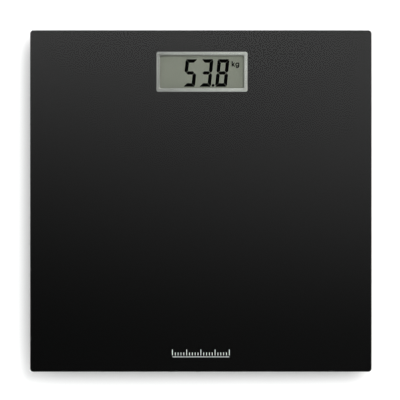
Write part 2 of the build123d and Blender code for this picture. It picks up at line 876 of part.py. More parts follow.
with BuildPart() as battery_door:
    with BuildSketch(display_place.offset(cover_underside)):
        with Locations((well_offset, (door_front + door_main_end) / 2)):
            Rectangle(2 * door_half, door_main_end - door_front)
        with Locations((well_offset, (door_main_end + hinge_y) / 2)):
            Rectangle(knuckle_length, hinge_y - door_main_end)
    extrude(amount=door_thickness)
    with BuildSketch(hinge_plane):
        Circle(knuckle_radius)
    extrude(amount=knuckle_length / 2, both=True)
    with BuildSketch(hinge_plane):
        Circle(axle_radius)
    extrude(amount=knuckle_length / 2 + axle_length, both=True)
    # Ribs that hold the cell up against its contact
    with BuildSketch(display_place.offset(cover_underside + door_thickness)):
        with Locations(
            (well_offset - door_rib_offset, well_y),
            (well_offset + door_rib_offset, well_y),
        ):
            Rectangle(door_rib_width, door_rib_length)
    extrude(amount=cell_underside - cover_underside - door_thickness)
    # Grip grooves by the thumb notch
    with BuildSketch(display_place.offset(cover_underside)):
        with Locations((well_offset, door_front + 3 * grip_groove_pitch)):
            with GridLocations(grip_groove_length, grip_groove_pitch, 1, 3):
                Rectangle(grip_groove_length, grip_groove_width)
    extrude(amount=grip_groove_depth, mode=Mode.SUBTRACT)
battery_door.part.label = "battery_door"
export_step(battery_door.part, "parts/battery_door.step")

# ---------------------------------------------------------------- foot modules

with BuildPart() as foot_tapes:
    for corner in corners:
        with BuildSketch(foot_plane(corner).offset(seat_level)):
            Circle(carrier_flange_radius - tape_inset)
        extrude(amount=tape_thickness)
foot_tapes.part.label = "foot_tapes"
export_step(foot_tapes.part, "parts/foot_tapes.step")

with BuildPart() as strain_gauges:
    for corner in corners:
        with BuildSketch(foot_plane(corner).offset(load_cell_top)):
            with Locations((0, gauge_offset)):
                RectangleRounded(gauge_width, gauge_length, gauge_height)
        extrude(amount=gauge_height)
strain_gauges.part.label = "strain_gauges"
export_step(strain_gauges.part, "parts/strain_gauges.step")

for corner in corners:
    place = foot_plane(corner)
    rim_inner = load_cell_size + 2 * locating_gap
    rim_outer = rim_inner + 2 * carrier_rim
    rim_radius = load_cell_corner_radius + locating_gap

    with BuildPart() as foot_carrier:
        with BuildSketch(place.offset(carrier_ceiling)):
            Circle(carrier_flange_radius)
        extrude(amount=carrier_plate)
        fillet(foot_carrier.faces().sort_by(Axis.Z)[0].edges(), carrier_edge_radius)
        with BuildSketch(place.offset(carrier_wall_bottom)):
            Circle(carrier_wall_outer)
            Circle(carrier_wall_inner, mode=Mode.SUBTRACT)
        extrude(amount=carrier_ceiling - carrier_wall_bottom)
        fillet(foot_carrier.faces().sort_by(Axis.Z)[0].edges(), carrier_edge_radius)
        # Gussets between wall and flange
        gusset_radius = (carrier_wall_outer + carrier_flange_radius) / 2 - slide_gap * 2
        gusset_length = carrier_flange_radius - carrier_wall_outer
        half_step = 180 / carrier_gusset_count
        with BuildSketch(place.offset(carrier_ceiling - carrier_gusset_height)):
            with PolarLocations(gusset_radius, carrier_gusset_count, start_angle=half_step):
                Rectangle(gusset_length, carrier_gusset_thickness)
        extrude(amount=carrier_gusset_height)
        # Rim round the load cell and the U-shaped ledge that presses on its outer bars
        with BuildSketch(place.offset(load_cell_top - carrier_rim_overlap)):
            RectangleRounded(rim_outer, rim_outer, rim_radius + carrier_rim)
            RectangleRounded(rim_inner, rim_inner, rim_radius, mode=Mode.SUBTRACT)
        extrude(amount=carrier_ceiling - load_cell_top + carrier_rim_overlap)
        ledge_half = tongue_width / 2 + tongue_slot + locating_gap * 4
        ledge_front = -tongue_tip - tongue_slot - locating_gap * 4
        with BuildSketch(place.offset(load_cell_top)):
            RectangleRounded(rim_inner, rim_inner, rim_radius)
            with Locations((0, ledge_front + load_cell_size / 2)):
                Rectangle(2 * ledge_half, load_cell_size, mode=Mode.SUBTRACT)
        extrude(amount=carrier_ceiling - load_cell_top)
        # Hooks under the load cell
        hook_x = (rim_inner + carrier_rim) / 2
        with BuildSketch(place.offset(load_cell_underside - hook_thickness)):
            with Locations((-hook_x, 0), (hook_x, 0)):
                Rectangle(carrier_rim, hook_width)
        extrude(amount=load_cell_thickness + hook_thickness)
        hook_tip_x = rim_inner / 2 - hook_reach / 2
        with BuildSketch(place.offset(load_cell_underside - hook_thickness)):
            with Locations((-hook_tip_x, 0), (hook_tip_x, 0)):
                Rectangle(hook_reach, hook_width)
        extrude(amount=hook_thickness)
        # Way out for the wires
        with BuildSketch(place.offset(carrier_wall_bottom)):
            with Locations((0, load_cell_size / 2 + carrier_wall_outer / 2)):
                Rectangle(wire_notch_width, carrier_wall_outer)
        extrude(amount=carrier_ceiling - carrier_wall_bottom, mode=Mode.SUBTRACT)
    foot_carrier.part.label = f"foot_carrier_{corner}"
    export_step(foot_carrier.part, f"parts/foot_carrier_{corner}.step")

    with BuildPart() as load_cell:
        with BuildSketch(place.offset(load_cell_underside)):
            RectangleRounded(load_cell_size, load_cell_size, load_cell_corner_radius)
            slot_length = tongue_root + tongue_tip + tongue_slot
            with Locations((0, tongue_root - slot_length / 2)):
                Rectangle(tongue_width + 2 * tongue_slot, slot_length, mode=Mode.SUBTRACT)
            with Locations((0, tongue_root - (tongue_root + tongue_tip) / 2)):
                Rectangle(tongue_width, tongue_root + tongue_tip)
            relief_x = (tongue_width + tongue_slot) / 2
            with Locations((-relief_x, tongue_root), (relief_x, tongue_root)):
                Circle(tongue_relief_radius, mode=Mode.SUBTRACT)
            Circle(foot_screw_radius, mode=Mode.SUBTRACT)
        extrude(amount=load_cell_thickness)
    load_cell.part.label = f"load_cell_{corner}"
    export_step(load_cell.part, f"parts/load_cell_{corner}.step")

    with BuildPart() as foot_cup:
        with BuildSketch(place.offset(cup_underside)):
            Circle(cup_radius)
        extrude(amount=cup_top - cup_underside)
        fillet(foot_cup.faces().sort_by(Axis.Z)[0].edges(), cup_edge_radius)
        with BuildSketch(place.offset(cup_floor_top)):
            Circle(cup_inner_radius)
        extrude(amount=cup_top - cup_floor_top, mode=Mode.SUBTRACT)
        fillet(foot_cup.faces().sort_by(Axis.Z)[-1].edges(), cup_lip_radius)
        with BuildSketch(place.offset(cup_floor_top)):
            Circle(cup_boss_radius)
        extrude(amount=load_cell_underside - cup_floor_top)
        rib_radius = (cup_boss_radius + cup_inner_radius) / 2
        with BuildSketch(place.offset(cup_floor_top)):
            with PolarLocations(rib_radius, cup_rib_count):
                Rectangle(cup_inner_radius - cup_boss_radius + cup_rib_thickness, cup_rib_thickness)
        extrude(amount=cup_rib_height)
        with BuildSketch(place.offset(cup_underside)):
            Circle(foot_screw_radius + screw_gap)
        extrude(amount=load_cell_underside - cup_underside, mode=Mode.SUBTRACT)
        with BuildSketch(place.offset(cup_underside)):
            Circle(foot_screw_head_radius + screw_gap)
        extrude(amount=pad_recess + foot_screw_recess, mode=Mode.SUBTRACT)
        with BuildSketch(place.offset(cup_underside)):
            Circle(pad_radius + locating_gap)
        extrude(amount=pad_recess, mode=Mode.SUBTRACT)
    foot_cup.part.label = f"foot_cup_{corner}"
    export_step(foot_cup.part, f"parts/foot_cup_{corner}.step")

    with BuildPart() as foot_pad:
        with BuildSketch(place):
            Circle(pad_radius)
        extrude(amount=pad_thickness)
        fillet(foot_pad.faces().sort_by(Axis.Z)[0].edges(), pad_edge_radius)
        with BuildSketch(place):
            for index in range(pad_groove_count):
                groove = pad_first_groove + index * pad_groove_pitch
                Circle(groove + pad_groove_width)
                Circle(groove, mode=Mode.SUBTRACT)
        extrude(amount=pad_groove_depth, mode=Mode.SUBTRACT)
    foot_pad.part.label = f"foot_pad_{corner}"
    export_step(foot_pad.part, f"parts/foot_pad_{corner}.step")

    with BuildPart() as foot_screw:
        head_seat = pad_thickness + foot_screw_recess
        with BuildSketch(place.offset(head_seat - foot_screw_head)):
            Circle(foot_screw_head_radius)
        extrude(amount=foot_screw_head)
        with BuildSketch(place.offset(head_seat)):
            Circle(foot_screw_radius)
        extrude(amount=load_cell_top - foot_screw_tip_gap - head_seat)
        with BuildSketch(place.offset(head_seat - foot_screw_head)):
            cross_slots([(0, 0)])
        extrude(amount=cross_slot_depth, mode=Mode.SUBTRACT)
    foot_screw.part.label = f"foot_screw_{corner}"
    export_step(foot_screw.part, f"parts/foot_screw_{corner}.step")

    # Channel under the glass that hides the wires between the foot and the housing
    with BuildPart() as wire_cover:
        start = carrier_flange_radius + part_gap
        reach = (wire_bend(corner) - place.origin).length
        section_plane = Plane(
            origin=place.origin + place.y_dir * start,
            x_dir=place.x_dir * -1,
            z_dir=place.y_dir,
        )
        with BuildSketch(section_plane) as section:
            channel_top = print_underside
            with Locations((0, channel_top - channel_flange_thickness / 2)):
                Rectangle(
                    channel_width + 2 * (channel_wall + channel_flange),
                    channel_flange_thickness,
                )
            body_height = channel_top - channel_floor + channel_wall
            with Locations((0, channel_top - body_height / 2)):
                Rectangle(channel_width + 2 * channel_wall, body_height)
            fillet(section.vertices().group_by(Axis.Y)[0], channel_edge_radius)
            with Locations((0, (channel_top + channel_floor) / 2)):
                Rectangle(channel_width, channel_top - channel_floor, mode=Mode.SUBTRACT)
        if notches[corner][2]:
            extrude(amount=reach - housing_wall / 2 - part_gap - start)
        else:
            extrude(amount=reach + housing_length)
            wall_plane = Plane.XZ.offset(-(display_y + housing_front - part_gap))
            split(bisect_by=wall_plane, keep=Keep.TOP)
    wire_cover.part.label = f"wire_cover_{corner}"
    export_step(wire_cover.part, f"parts/wire_cover_{corner}.step")

# ---------------------------------------------------------------- wires

pad_from_pocket = board_side_margin / 2
side_pad_x = pocket_outer[0] / 2 + pad_from_pocket
front_pad_y = pocket_front - pad_from_pocket


def wire_points(corner, offset):
    """Corner points of one wire, from its strain gauge to its pad on the board."""
    place = foot_plane(corner)
    side = Vector(place.x_dir.X, place.x_dir.Y, 0)
    start = place.origin + place.y_dir * (gauge_offset + gauge_length / 2) + side * offset
    level = Vector(0, 0, wire_level)
    pad_drop = Vector(0, 0, board_top - wire_level)
    if notches[corner][2]:
        pad = Vector(display_x + corners[corner][0] * side_pad_x, start.Y, 0)
        return [start + level, pad + level, pad + level + pad_drop], [wire_drop_radius]
    after = Vector(1, 0, 0)
    bend = wire_bend(corner) + (side + after) * (offset / (1 + side.dot(after)))
    pad = Vector(bend.X, display_y + front_pad_y, 0)
    points = [start + level, bend + level, pad + level, pad + level + pad_drop]
    return points, [wire_bend_radius, wire_drop_radius]


for colour, slot in {"red": -1, "black": 0, "white": 1}.items():
    with BuildPart() as sensor_wires:
        for corner in corners:
            points, radii = wire_points(corner, slot * wire_pitch)
            with BuildLine() as route:
                FilletPolyline(*points, radius=radii)
            with BuildSketch(Plane(origin=points[0], z_dir=points[1] - points[0])):
                Circle(wire_diameter / 2)
            sweep(path=route.wire())
    sensor_wires.part.label = f"sensor_wires_{colour}"
    export_step(sensor_wires.part, f"parts/sensor_wires_{colour}.step")
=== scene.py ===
import json
import bpy
from mathutils import Matrix, Vector

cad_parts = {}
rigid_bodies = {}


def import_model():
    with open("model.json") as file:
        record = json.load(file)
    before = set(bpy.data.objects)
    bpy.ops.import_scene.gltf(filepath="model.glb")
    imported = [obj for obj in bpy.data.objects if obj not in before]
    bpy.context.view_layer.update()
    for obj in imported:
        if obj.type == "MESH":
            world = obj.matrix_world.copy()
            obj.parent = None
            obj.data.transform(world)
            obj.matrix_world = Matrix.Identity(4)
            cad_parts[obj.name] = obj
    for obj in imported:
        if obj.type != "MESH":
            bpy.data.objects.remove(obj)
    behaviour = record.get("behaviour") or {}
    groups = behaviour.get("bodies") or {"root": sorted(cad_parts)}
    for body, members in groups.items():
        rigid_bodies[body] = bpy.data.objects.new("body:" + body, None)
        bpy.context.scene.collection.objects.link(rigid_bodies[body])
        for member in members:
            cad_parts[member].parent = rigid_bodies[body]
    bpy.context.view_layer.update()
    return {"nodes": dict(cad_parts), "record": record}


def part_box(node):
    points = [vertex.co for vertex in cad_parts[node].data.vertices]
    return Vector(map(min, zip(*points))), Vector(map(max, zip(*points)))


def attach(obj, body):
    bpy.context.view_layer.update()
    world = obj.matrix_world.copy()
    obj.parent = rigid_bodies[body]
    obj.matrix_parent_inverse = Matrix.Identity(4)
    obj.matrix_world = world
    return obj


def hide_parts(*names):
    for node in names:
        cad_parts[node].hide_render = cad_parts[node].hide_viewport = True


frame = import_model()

print("frame loaded:", len(frame["nodes"]), "nodes")

bpy.context.scene.view_settings.view_transform = "Standard"


# camera: straight above the platform, like a catalogue picture
cameraSet = {
    "height": 3.0,            # above the glass
    "viewWidth": 0.3513,      # what the picture spans at the glass
    "sensor": 36.0,
    "aimX": -0.00076,
    "aimY": 0.00092,
    "nearest": 0.1,
    "farthest": 50,
}

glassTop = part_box("glass_platform")[1][2]
cameraData = bpy.data.cameras.new("camera")
cameraData.sensor_width = cameraSet["sensor"]
cameraData.lens = cameraSet["sensor"] * cameraSet["height"] / cameraSet["viewWidth"]
cameraData.clip_start = cameraSet["nearest"]
cameraData.clip_end = cameraSet["farthest"]
camera = bpy.data.objects.new("camera", cameraData)
camera.location = (cameraSet["aimX"], cameraSet["aimY"], glassTop + cameraSet["height"])
bpy.context.scene.collection.objects.link(camera)
bpy.context.scene.camera = camera


# shader sums: a wire is one output of a node, and sums on wires add nodes
class Wire:
    def __init__(self, tree, socket=None):
        self.tree = tree
        self.socket = socket

    def node(self, kind, settings=None, inputs=None, output=0):
        made = self.tree.nodes.new(kind)
        for name, value in (settings or {}).items():
            setattr(made, name, value)
        for name, value in (inputs or {}).items():
            if isinstance(value, Wire):
                self.tree.links.new(value.socket, made.inputs[name])
            else:
                made.inputs[name].default_value = value
        return Wire(self.tree, made.outputs[output])

    def maths(self, operation, *values):
        return self.node("ShaderNodeMath", {"operation": operation}, dict(enumerate(values)))

    def __add__(self, other):
        return self.maths("ADD", self, other)

    def __radd__(self, other):
        return self.maths("ADD", other, self)

    def __sub__(self, other):
        return self.maths("SUBTRACT", self, other)

    def __rsub__(self, other):
        return self.maths("SUBTRACT", other, self)

    def __mul__(self, other):
        return self.maths("MULTIPLY", self, other)

    def __rmul__(self, other):
        return self.maths("MULTIPLY", other, self)

    def __pow__(self, other):
        return self.maths("POWER", self, other)

    # 0 below low, 1 above high
    def between(self, low, high):
        return self.node("ShaderNodeMapRange", {"clamp": True},
                         {"Value": self, "From Min": low, "From Max": high})

    # this wire as the share of the second colour
    def colour(self, first, second):
        return self.node("ShaderNodeMix", {"data_type": "RGBA"}, {0: self, 6: first, 7: second}, 2)

    # the next few start from a point on the piece; a size is the width of one blotch or cell
    def noise(self, size, detail=2.0, rough=0.5):
        return self.node("ShaderNodeTexNoise", {},
                         {"Vector": self, "Scale": 1 / size, "Detail": detail, "Roughness": rough})

    def cells(self, size):
        return self.node("ShaderNodeTexVoronoi", {}, {"Vector": self, "Scale": 1 / size})

    def stretched(self, scale):
        return self.node("ShaderNodeMapping", {}, {"Vector": self, "Scale": scale})

    def part(self, axis):
        return self.node("ShaderNodeSeparateXYZ", {}, {0: self}, "XYZ".index(axis))

    def bump(self, height, depth, strength=1.0):
        return self.node("ShaderNodeBump", {}, {"Height": height, "Distance": depth, "Strength": strength})


def grey(level, warmth=0.0):
    return (level * (1 + warmth), level, level * (1 - warmth), 1)


def paint(red, green, blue):
    return (red, green, blue, 1)


# a material from constants on its shader and a recipe of what changes over the surface
def makeFinish(name, constants, recipe):
    material = bpy.data.materials.new(name)
    material.use_nodes = True
    tree = material.node_tree
    shader = tree.nodes["Principled BSDF"]
    for socket, value in constants.items():
        shader.inputs[socket].default_value = value
    point = Wire(tree).node("ShaderNodeTexCoord", {}, {}, 3)
    for socket, wire in recipe(point).items():
        tree.links.new(wire.socket, shader.inputs[socket])
    return material


# moulded plastic: spark-eroded grain, slow change of tone, a few rubbed places
def mouldedRecipe(dark, light, grain, depth, rough):
    def recipe(point):
        fine = point.noise(grain, 3, 0.6)
        slow = point.noise(0.03, 3)
        rubbed = point.noise(0.012, 5, 0.65).between(0.6, 0.75)
        return {
            "Base Color": (slow * 0.7 + fine * 0.3).colour(dark, light),
            "Roughness": rough + fine * 0.14 - rubbed * 0.1,
            "Normal": point.bump(fine, depth, 0.6),
        }
    return recipe


# plated sheet or wire: rolling streaks, faint spangle, light handling marks
def platedRecipe(dark, light, streak, rough):
    def recipe(point):
        rolled = point.stretched((1, 9, 9)).noise(streak, 4, 0.6)
        spangle = point.cells(0.0011).between(0, 0.9)
        stains = point.noise(0.006, 4, 0.6)
        return {
            "Base Color": (rolled * 0.55 + stains * 0.45).colour(dark, light),
            "Roughness": rough + rolled * 0.16 + spangle * 0.05,
            "Normal": point.bump(rolled, 0.00001, 0.5),
        }
    return recipe


# tumbled screws and cell can: short brushed lines in two directions under a soft bloom
def tumbledRecipe(dark, light, rough):
    def recipe(point):
        along = point.stretched((1, 14, 4)).noise(0.0035, 3, 0.7)
        across = point.stretched((14, 1, 4)).noise(0.0035, 3, 0.7)
        bloom = point.noise(0.0022, 3)
        return {
            "Base Color": (along * 0.3 + across * 0.3 + bloom * 0.4).colour(dark, light),
            "Roughness": rough + bloom * 0.18 + along * 0.08,
            "Normal": point.bump(along + across, 0.000006, 0.5),
        }
    return recipe


# foam tape: open bubbles, a slow change of tone
def foamRecipe(point):
    bubbles = point.cells(0.00045)
    tone = point.noise(0.006, 3)
    return {
        "Base Color": (bubbles.between(0, 0.7) * 0.6 + tone * 0.4).colour(grey(0.012), grey(0.05)),
        "Roughness": 0.86 + bubbles * 0.1,
        "Normal": point.bump(bubbles, 0.00012),
    }


# foot rubber: the face that stands on the floor is scuffed and holds dust
def rubberRecipe(point):
    skin = point.noise(0.00035, 4, 0.65)
    bloom = point.noise(0.009, 4, 0.6)
    standing = 1 - point.part("Z").between(0.0001, 0.0006)
    worn = standing * point.noise(0.0016, 5, 0.7).between(0.42, 0.7)
    return {
        "Base Color": (bloom * 0.6 + worn * 0.8).colour(grey(0.022), grey(0.085, 0.03)),
        "Roughness": 0.62 + skin * 0.2 + worn * 0.12,
        "Normal": point.bump(skin, 0.00004, 0.7),
    }


# milky silicone over the strain gauges, lumpy from the nozzle
def siliconeRecipe(point):
    lumps = point.noise(0.0022, 3)
    haze = point.noise(0.0006, 3)
    return {
        "Base Color": (lumps * 0.6 + haze * 0.4).colour(grey(0.62, 0.03), grey(0.86, 0.02)),
        "Roughness": 0.28 + haze * 0.2,
        "Normal": point.bump(lumps, 0.0003, 0.8),
    }


# solder mask over copper: tracks wind as lighter lines over the weave of the board
def boardRecipe(point):
    weave = point.stretched((1, 1, 0)).cells(0.0006)
    lanesPerBlotch = 9
    lanes = (point.noise(0.004, 0) * lanesPerBlotch).maths("FRACT")
    tracks = lanes.between(0.35, 0.5) * point.noise(0.011, 1).between(0.45, 0.55)
    dark, light = paint(0.004, 0.05, 0.018), paint(0.02, 0.2, 0.06)
    return {
        "Base Color": (tracks * 0.75 + weave * 0.15).colour(dark, light),
        "Roughness": 0.3 + weave * 0.12 - tracks * 0.05,
        "Normal": point.bump(tracks + weave * 0.3, 0.00003),
    }


# the black drop over the controller: it flowed before it set, and dust stuck to it
def epoxyRecipe(point):
    flow = point.noise(0.0035, 2)
    dust = point.noise(0.0003, 3).between(0.62, 0.8)
    return {
        "Base Color": (flow * 0.4 + dust * 0.6).colour(grey(0.006), grey(0.03)),
        "Roughness": 0.14 + flow * 0.16 + dust * 0.3,
        "Normal": point.bump(flow, 0.0004, 0.6),
    }


# layers of conducting and plain rubber in the strip between display and board
def zebraRecipe(point):
    layersPerMetre = 4500
    layers = (point.part("X") * layersPerMetre).maths("FRACT").between(0.4, 0.6)
    cut = point.noise(0.0004, 3)
    return {
        "Base Color": (layers * 0.8 + cut * 0.2).colour(paint(0.55, 0.16, 0.13), grey(0.03)),
        "Roughness": 0.55 + cut * 0.2,
        "Normal": point.bump(cut, 0.00002),
    }


# drawn insulation: faint drag marks, a slow change of tone
def wireRecipe(dark, light):
    def recipe(point):
        drawn = point.noise(0.0012, 3)
        slow = point.noise(0.02, 2)
        return {
            "Base Color": (slow * 0.6 + drawn * 0.4).colour(dark, light),
            "Roughness": 0.32 + drawn * 0.16,
            "Normal": point.bump(drawn, 0.00003, 0.5),
        }
    return recipe


# satin silver paint: metal flake in a clear binder, with a painted sheen that makes the colour lighter
# towards the right, where the lamp stands
def bezelRecipe(point):
    flake = point.cells(0.00016).between(0.1, 0.8)
    cloud = point.noise(0.012, 3)
    # painted sheen: the base colour grows lighter from left to right, standing in for the lamp's light from
    # the upper right
    paintedSheen = point.part("X").between(-0.035, 0.03)
    tone = flake * 0.2 + cloud * 0.15 + paintedSheen * 0.65
    return {
        "Base Color": tone.colour(grey(0.25, 0.04), grey(0.52, 0.04)),
        "Roughness": 0.24 + flake * 0.06 + cloud * 0.05,
        "Normal": point.bump(flake, 0.000004, 0.6),
    }


# printed on the back of the glass: mirror smooth where it wets the glass, orange peel on its open side
def inkRecipe(dark, light):
    def recipe(point):
        peel = point.noise(0.0016, 2)
        screen = point.noise(0.0004, 3)
        openSide = 1 - point.node("ShaderNodeTexCoord", {}, {}, 1).part("Z").between(-0.5, 0.5)
        return {
            "Base Color": (peel * 0.5 + screen * 0.5).colour(dark, light),
            "Roughness": 0.42 + peel * 0.16,
            "Coat Weight": openSide * (0.5 + screen * 0.3),
            "Normal": point.bump(peel * openSide, 0.00003, 0.6),
        }
    return recipe


# frosted polariser over the liquid crystal
def filmRecipe(point):
    frost = point.noise(0.00022, 4, 0.7)
    cloud = point.noise(0.02, 3)
    dark, light = paint(0.13, 0.125, 0.103), paint(0.16, 0.154, 0.13)
    return {
        "Base Color": (frost * 0.45 + cloud * 0.55).colour(dark, light),
        "Roughness": 0.42 + frost * 0.16,
        "Normal": point.bump(frost, 0.000006, 0.5),
    }


# brushed foil behind the liquid crystal
def foilRecipe(point):
    brushed = point.stretched((1, 30, 30)).noise(0.02, 4, 0.6)
    return {
        "Base Color": brushed.colour(grey(0.42, 0.02), grey(0.62, 0.02)),
        "Roughness": 0.32 + brushed * 0.2,
        "Normal": point.bump(brushed, 0.00001, 0.5),
    }


# crystal-clear glass, slightly wavy from tempering, with a breath of finger haze
def glassRecipe(point):
    haze = point.noise(0.03, 4, 0.6).between(0.55, 0.8)
    wave = point.noise(0.11, 0)
    return {
        "Roughness": 0.012 + haze * 0.03,
        "Normal": point.bump(wave, 0.00003, 0.5),
    }


# the thin glass of the display
def cellGlassRecipe(point):
    haze = point.noise(0.005, 3)
    return {
        "Roughness": 0.03 + haze * 0.05,
        "Normal": point.bump(haze, 0.000005, 0.5),
    }


# lets lamps and soft light through without bending them, so that what lies under the glass is lit
def letLightThrough(material, tint):
    tree = material.node_tree
    surface = tree.nodes["Principled BSDF"].outputs[0]
    start = Wire(tree)
    clear = start.node("ShaderNodeBsdfTransparent", {}, {0: tint})
    shown = Wire(tree, surface)
    for ray in ("Is Shadow Ray", "Is Diffuse Ray"):
        asks = start.node("ShaderNodeLightPath", {}, {}, ray)
        shown = start.node("ShaderNodeMixShader", {}, {0: asks, 1: shown, 2: clear})
    tree.links.new(shown.socket, tree.nodes["Material Output"].inputs["Surface"])


# the green of a long way through glass, seen at its edges
def tintInside(material, colour, density):
    tree = material.node_tree
    inside = Wire(tree).node("ShaderNodeVolumeAbsorption", {}, {"Color": colour, "Density": density})
    tree.links.new(inside.socket, tree.nodes["Material Output"].inputs["Volume"])


finishes = {
    "tempered_glass": (
        {"Base Color": paint(0.96, 0.985, 0.975), "Transmission Weight": 1.0, "IOR": 1.5},
        glassRecipe),
    "back_ink": (
        {"Specular IOR Level": 0.0, "Coat Roughness": 0.35},
        inkRecipe(grey(0.0008), grey(0.0016))),
    "silver_ink": (
        {"Metallic": 0.2, "Coat Roughness": 0.35},
        inkRecipe(grey(0.6), grey(0.8))),
    "foam_tape": ({"Specular IOR Level": 0.25}, foamRecipe),
    "black_abs": (
        {"IOR": 1.5},
        mouldedRecipe(grey(0.011), grey(0.024), grain=0.0004, depth=0.00004, rough=0.42)),
    "silver_bezel": ({"Metallic": 0.85}, bezelRecipe),
    "lcd_film": ({"IOR": 1.45}, filmRecipe),
    "lcd_glass": (
        {"Base Color": paint(0.9, 0.95, 0.92), "Transmission Weight": 1.0, "IOR": 1.5},
        cellGlassRecipe),
    "reflector_foil": ({"Metallic": 0.9}, foilRecipe),
    "elastomer": ({"Specular IOR Level": 0.3}, zebraRecipe),
    "circuit_board": ({"IOR": 1.5}, boardRecipe),
    "component_body": (
        {"IOR": 1.5},
        mouldedRecipe(grey(0.012), grey(0.04), grain=0.00018, depth=0.00002, rough=0.4)),
    "epoxy": ({"IOR": 1.5}, epoxyRecipe),
    "zinc_screw": (
        {"Metallic": 1.0},
        tumbledRecipe(paint(0.42, 0.43, 0.42), paint(0.66, 0.66, 0.62), rough=0.22)),
    "switch_body": (
        {"IOR": 1.5},
        mouldedRecipe(grey(0.014), grey(0.034), grain=0.00022, depth=0.00002, rough=0.4)),
    "button_grey": (
        {"IOR": 1.5},
        mouldedRecipe(grey(0.11), grey(0.17), grain=0.0003, depth=0.00003, rough=0.4)),
    "cell_can": (
        {"Metallic": 1.0},
        tumbledRecipe(paint(0.55, 0.54, 0.51), paint(0.74, 0.73, 0.7), rough=0.14)),
    "contact_steel": (
        {"Metallic": 1.0},
        platedRecipe(paint(0.5, 0.47, 0.4), paint(0.7, 0.67, 0.6), streak=0.004, rough=0.2)),
    "load_cell_steel": (
        {"Metallic": 1.0},
        platedRecipe(paint(0.3, 0.31, 0.32), paint(0.5, 0.51, 0.52), streak=0.008, rough=0.26)),
    "silicone": ({"Subsurface Weight": 0.2, "Subsurface Scale": 0.001}, siliconeRecipe),
    "pad_rubber": ({"Specular IOR Level": 0.3}, rubberRecipe),
    "wire_red": ({}, wireRecipe(paint(0.32, 0.008, 0.008), paint(0.5, 0.016, 0.014))),
    "wire_black": ({}, wireRecipe(grey(0.008), grey(0.018))),
    "wire_white": ({}, wireRecipe(grey(0.6, 0.02), grey(0.78, 0.02))),
}
materials = {slot: makeFinish(slot, *made) for slot, made in finishes.items()}
letLightThrough(materials["tempered_glass"], paint(0.93, 0.955, 0.945))
letLightThrough(materials["lcd_glass"], paint(0.88, 0.92, 0.9))
tintInside(materials["tempered_glass"], paint(0.74, 0.86, 0.8), 20.0)

for part in frame["record"]["subparts"]:
    node = bpy.data.objects[part["node"]]
    for slot in node.material_slots:
        slot.material = materials[part["material_slot"]]


# tools for new pieces
def deselectAll():
    if bpy.context.object and bpy.context.object.mode != "OBJECT":
        bpy.ops.object.mode_set(mode="OBJECT")
    bpy.ops.object.select_all(action="DESELECT")


def pick(piece):
    deselectAll()
    piece.select_set(True)
    bpy.context.view_layer.objects.active = piece


def nameAndPaint(piece, name, material):
    piece.name = name
    piece.data.name = name
    piece.data.materials.clear()
    piece.data.materials.append(material)


def joinPieces(pieces):
    pick(pieces[0])
    for piece in pieces[1:]:
        piece.select_set(True)
    bpy.ops.object.join()
    return bpy.context.view_layer.objects.active


def placeInMesh(piece):
    pick(piece)
    bpy.ops.object.transform_apply(location=True, rotation=True, scale=True)


# gives a flat piece its thickness: upwards, or downwards when it is negative; sorting keeps what a
# weld makes of it the same in each run
def thicken(piece, thickness):
    pick(piece)
    bpy.ops.object.mode_set(mode="EDIT")
    bpy.ops.mesh.select_all(action="SELECT")
    bpy.ops.mesh.extrude_region_move(TRANSFORM_OT_translate={"value": (0, 0, thickness)})
    bpy.ops.mesh.select_all(action="SELECT")
    bpy.ops.mesh.sort_elements(type="CURSOR_DISTANCE", elements={"VERT", "EDGE", "FACE"})
    bpy.ops.mesh.normals_make_consistent(inside=False)
    bpy.ops.object.mode_set(mode="OBJECT")


# cuts a flat piece along lines; each cut is a point on its line and the way out from it,
# about one long, and what lies that way is thrown away unless it is kept
def cutFlat(piece, level, cuts, keep=False):
    pick(piece)
    bpy.ops.object.mode_set(mode="EDIT")
    for x, y, outX, outY in cuts:
        bpy.ops.mesh.select_all(action="SELECT")
        bpy.ops.mesh.bisect(plane_co=(x, y, level), plane_no=(outX, outY, 0), clear_outer=not keep)
    bpy.ops.object.mode_set(mode="OBJECT")


# a flat rectangle, less what its cuts throw away
def cutBar(left, right, bottom, top, level, cuts=()):
    deselectAll()
    bpy.ops.mesh.primitive_plane_add(size=1, location=((left + right) / 2, (bottom + top) / 2, level))
    bar = bpy.context.object
    bar.scale = (right - left, top - bottom, 1)
    placeInMesh(bar)
    cutFlat(bar, level, cuts)
    return bar


ringSteps = 48


# a flat ring, cut like a bar
def cutRing(x, y, radius, stroke, level, cuts=()):
    deselectAll()
    bpy.ops.mesh.primitive_circle_add(vertices=ringSteps, radius=radius, location=(x, y, level))
    ring = bpy.context.object
    placeInMesh(ring)
    inner = (radius - stroke) / radius
    bpy.ops.object.mode_set(mode="EDIT")
    bpy.ops.mesh.select_all(action="SELECT")
    bpy.ops.mesh.extrude_region_move()
    bpy.ops.transform.resize(value=(inner, inner, 1), center_override=(x, y, level))
    cutFlat(ring, level, cuts)
    return ring


# throws away the faces whose middle passes the test
def dropFaces(piece, unwanted):
    pick(piece)
    bpy.ops.object.mode_set(mode="EDIT")
    bpy.ops.mesh.select_mode(type="FACE")
    bpy.ops.mesh.select_all(action="DESELECT")
    bpy.ops.object.mode_set(mode="OBJECT")
    for face in piece.data.polygons:
        face.select = unwanted(face.center)
    bpy.ops.object.mode_set(mode="EDIT")
    bpy.ops.mesh.delete(type="FACE")
    bpy.ops.mesh.select_mode(type="VERT")
    bpy.ops.object.mode_set(mode="OBJECT")


# rounds the flat corners that pass the test
def roundCorners(piece, radius, segments, wanted):
    pick(piece)
    bpy.ops.object.mode_set(mode="EDIT")
    bpy.ops.mesh.select_all(action="DESELECT")
    bpy.ops.object.mode_set(mode="OBJECT")
    for vertex in piece.data.vertices:
        vertex.select = wanted(vertex.co)
    bpy.ops.object.mode_set(mode="EDIT")
    bpy.ops.mesh.bevel(offset=radius, segments=segments, affect="VERTICES")
    bpy.ops.object.mode_set(mode="OBJECT")


